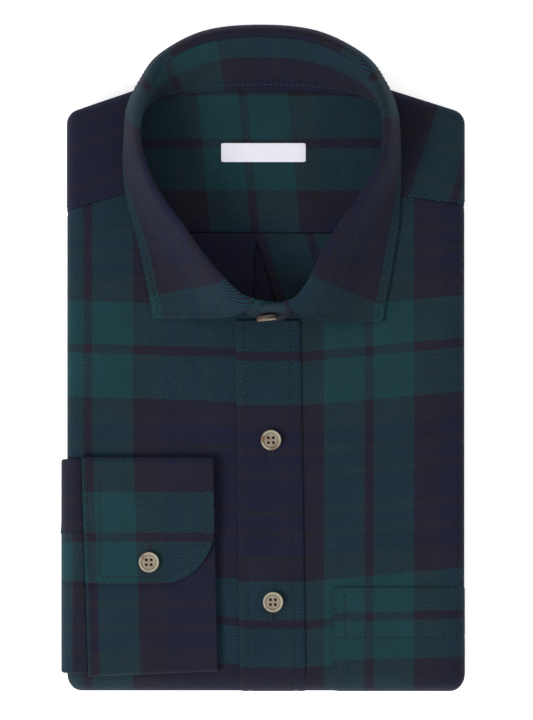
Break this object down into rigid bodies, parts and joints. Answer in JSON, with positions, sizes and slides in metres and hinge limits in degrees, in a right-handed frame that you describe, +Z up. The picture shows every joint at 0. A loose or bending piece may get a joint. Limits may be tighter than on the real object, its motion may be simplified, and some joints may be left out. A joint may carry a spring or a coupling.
{
  "type": "folded flannel shirt",
  "caption": "Long-sleeved tartan flannel shirt folded flat for the shelf, spread collar up, one cuff and the pocket showing.",
  "frame": {"origin": "middle of the underside's bounding rectangle, at the surface the shirt lies on", "axes": "+Z up out of the fronts, +Y from the hem fold towards the collar, +X towards the wearer's left side"},
  "size_m": [0.2216, 0.3665, 0.058],
  "materials": {
    "flannel": "brushed cotton twill in a green, navy and black tartan, matt with a short nap",
    "label": "smooth white woven satin, blank",
    "button": "mottled horn-like resin, polished, with a raised rim"
  },
  "bodies": {
    "root": {"hidden_layers": "flannel", "front_right": "flannel", "front_left": "flannel", "yoke": "flannel", "placket": "flannel", "pocket": "flannel", "inner_yoke": "flannel", "back": "flannel", "collar_stand": "flannel", "collar_fall": "flannel", "sleeve": "flannel", "cuff": "flannel", "label": "label", "button_front_1": "button", "button_front_2": "button", "button_cuff": "button", "button_collar": "button"}
  },
  "joints": []
}
